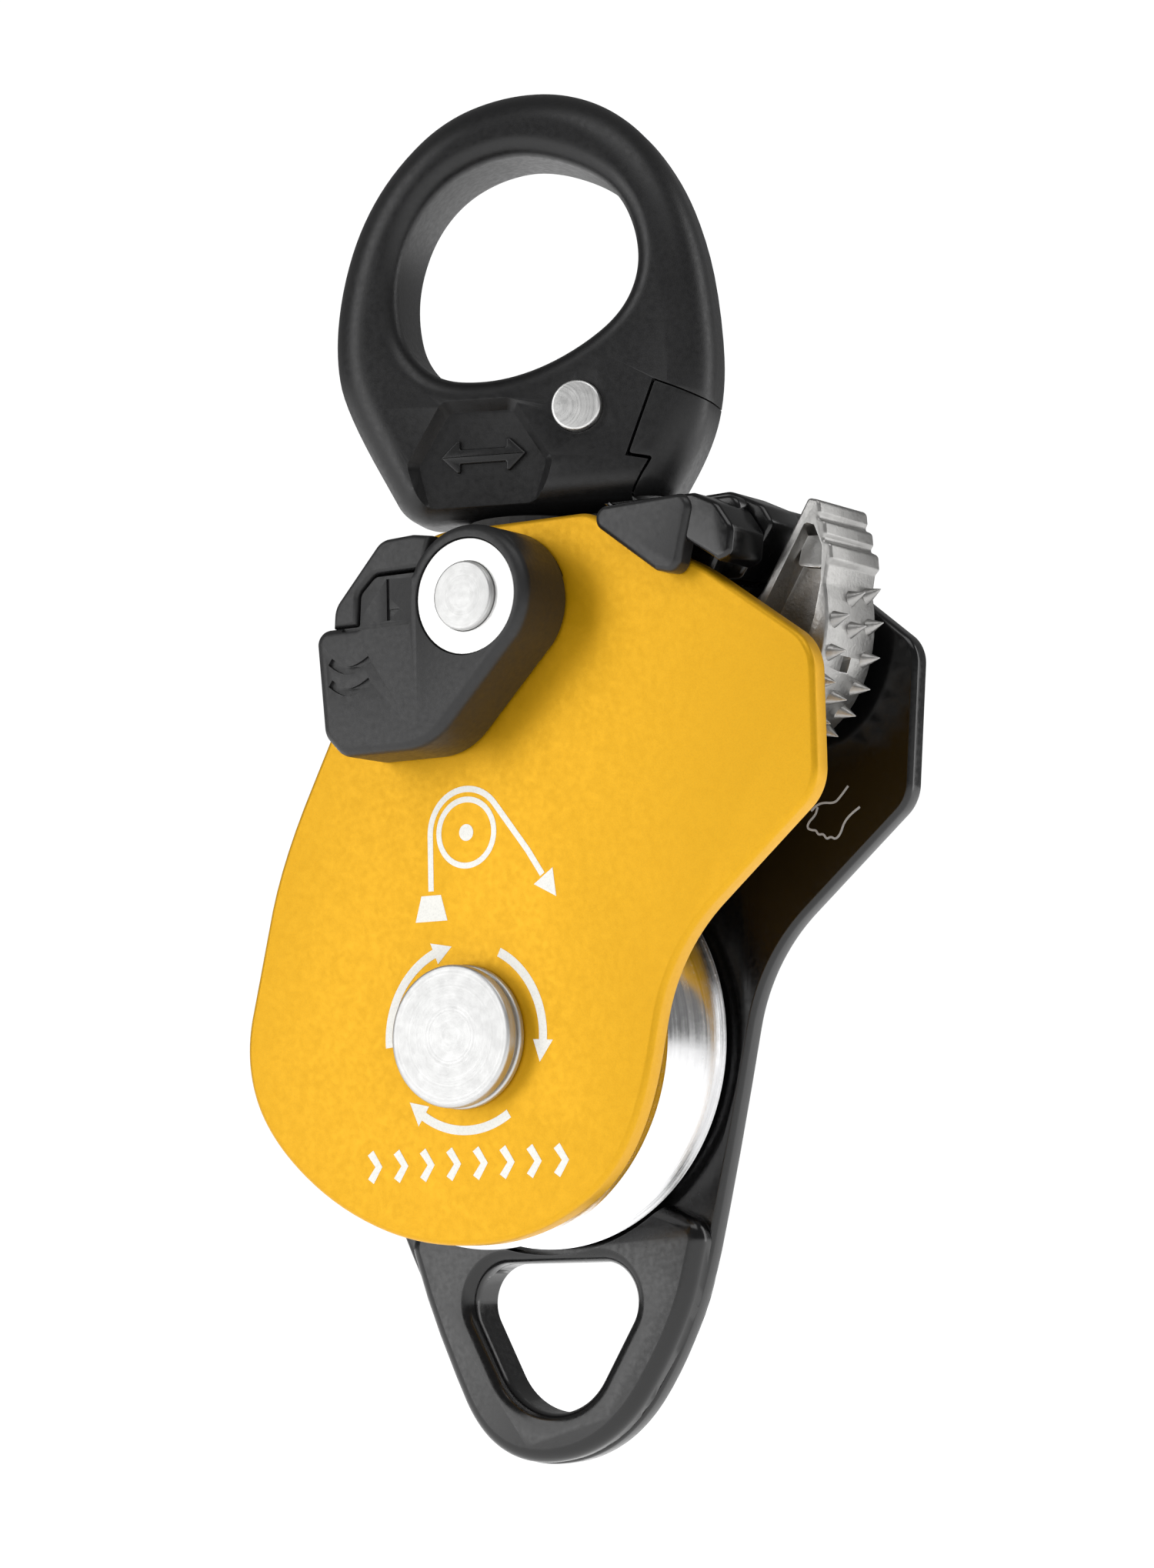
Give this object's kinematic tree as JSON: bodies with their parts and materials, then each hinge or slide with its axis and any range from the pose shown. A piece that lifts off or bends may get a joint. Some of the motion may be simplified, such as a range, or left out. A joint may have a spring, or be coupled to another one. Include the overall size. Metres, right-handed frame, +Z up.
{
  "type": "swivel rope pulley with progress-capture cam",
  "caption": "Rope pulley between a fixed and an opening side plate, with a toothed progress-capture cam, a lower eye and a swivel ring.",
  "frame": {"origin": "centre of the swivel ring's hole, on the swivel axis", "axes": "+Z up along the swivel axis, away from the load; -Y out of the opening side plate; +X to the cam side"},
  "size_m": [0.0831, 0.0344, 0.1665],
  "materials": {
    "swivel_ring": "matte dark grey anodised forging",
    "ring_lock_lever": "matte dark grey anodised forging",
    "ring_cross_pin": "satin",
    "swivel_spindle": "turned",
    "swivel_nut": "satin",
    "thrust_washer_lower": "ground",
    "thrust_washer_upper": "ground",
    "thrust_ball_cage": "polished",
    "swivel_seal": "matte",
    "fixed_side_plate": "glossy black anodised forging",
    "sheave_axle": "satin",
    "axle_cap": "turned with a groove",
    "spacer_front": "turned",
    "spacer_rear": "turned",
    "bearing_inner_race": "ground",
    "bearing_outer_race": "ground",
    "bearing_ball_cage": "polished",
    "bearing_seal_front": "matte",
    "bearing_seal_rear": "matte",
    "sheave": "turned and polished",
    "moving_side_plate": "satin yellow anodised",
    "latch_guard": "fine matte",
    "latch_lever": "fine matte",
    "latch_rivet": "satin",
    "latch_washer": "satin",
    "latch_spring": "spring wire",
    "toothed_cam": "cast stainless steel, bead blasted",
    "cam_pivot_pin": "satin",
    "cam_retaining_ring": "satin",
    "cam_spring": "spring wire",
    "detent_cup": "satin",
    "detent_plunger": "satin",
    "detent_spring": "spring wire"
  },
  "bodies": {
    "ring": {"swivel_ring": "swivel_ring", "ring_cross_pin": "ring_cross_pin", "thrust_washer_lower": "thrust_washer_lower", "thrust_ball_cage": "thrust_ball_cage"},
    "ring_lock": {"ring_lock_lever": "ring_lock_lever"},
    "frame": {"fixed_side_plate": "fixed_side_plate", "swivel_spindle": "swivel_spindle", "swivel_nut": "swivel_nut", "thrust_washer_upper": "thrust_washer_upper", "swivel_seal": "swivel_seal", "sheave_axle": "sheave_axle", "axle_cap": "axle_cap", "spacer_front": "spacer_front", "spacer_rear": "spacer_rear", "bearing_inner_race": "bearing_inner_race", "cam_pivot_pin": "cam_pivot_pin", "cam_retaining_ring": "cam_retaining_ring", "cam_spring": "cam_spring", "detent_cup": "detent_cup", "detent_spring": "detent_spring"},
    "wheel": {"sheave": "sheave", "bearing_outer_race": "bearing_outer_race", "bearing_ball_cage": "bearing_ball_cage", "bearing_seal_front": "bearing_seal_front", "bearing_seal_rear": "bearing_seal_rear"},
    "side_plate": {"moving_side_plate": "moving_side_plate", "latch_guard": "latch_guard", "latch_rivet": "latch_rivet", "latch_washer": "latch_washer", "latch_spring": "latch_spring"},
    "latch": {"latch_lever": "latch_lever"},
    "cam": {"toothed_cam": "toothed_cam"},
    "detent": {"detent_plunger": "detent_plunger"}
  },
  "joints": [
    {"name": "swivel", "type": "hinge", "parent": "ring", "child": "frame", "pos_m": [0, 0, 0], "axis": [0, 0, 1], "continuous": true},
    {"name": "ring_lock_slide", "type": "slide", "parent": "ring", "child": "ring_lock", "axis": [0.884, 0.277, -0.3766], "range_m": [0, 0.0012], "stiffness_N_per_m": 300, "springref_m": -0.001},
    {"name": "sheave_spin", "type": "hinge", "parent": "frame", "child": "wheel", "pos_m": [-0.0026, 0, -0.0942], "axis": [0, 1, 0], "continuous": true},
    {"name": "side_plate_swing", "type": "hinge", "parent": "frame", "child": "side_plate", "pos_m": [-0.0026, 0, -0.0942], "axis": [0, 1, 0], "range_deg": [-120, 0]},
    {"name": "latch_turn", "type": "hinge", "parent": "side_plate", "child": "latch", "pos_m": [0.0044, -0.012, -0.0432], "axis": [0, 1, 0], "range_deg": [-20, 0], "stiffness_Nm_per_rad": 0.05, "springref_deg": 20.05, "deforming": ["latch_spring"]},
    {"name": "cam_swing", "type": "hinge", "parent": "frame", "child": "cam", "pos_m": [0.0269, 0, -0.0567], "axis": [0, 1, 0], "range_deg": [0, 125], "deforming": ["cam_spring"]},
    {"name": "detent_press", "type": "slide", "parent": "frame", "child": "detent", "axis": [0, 1, 0], "range_m": [0, 0.0004], "stiffness_N_per_m": 400, "springref_m": -0.001, "deforming": ["detent_spring"]}
  ]
}
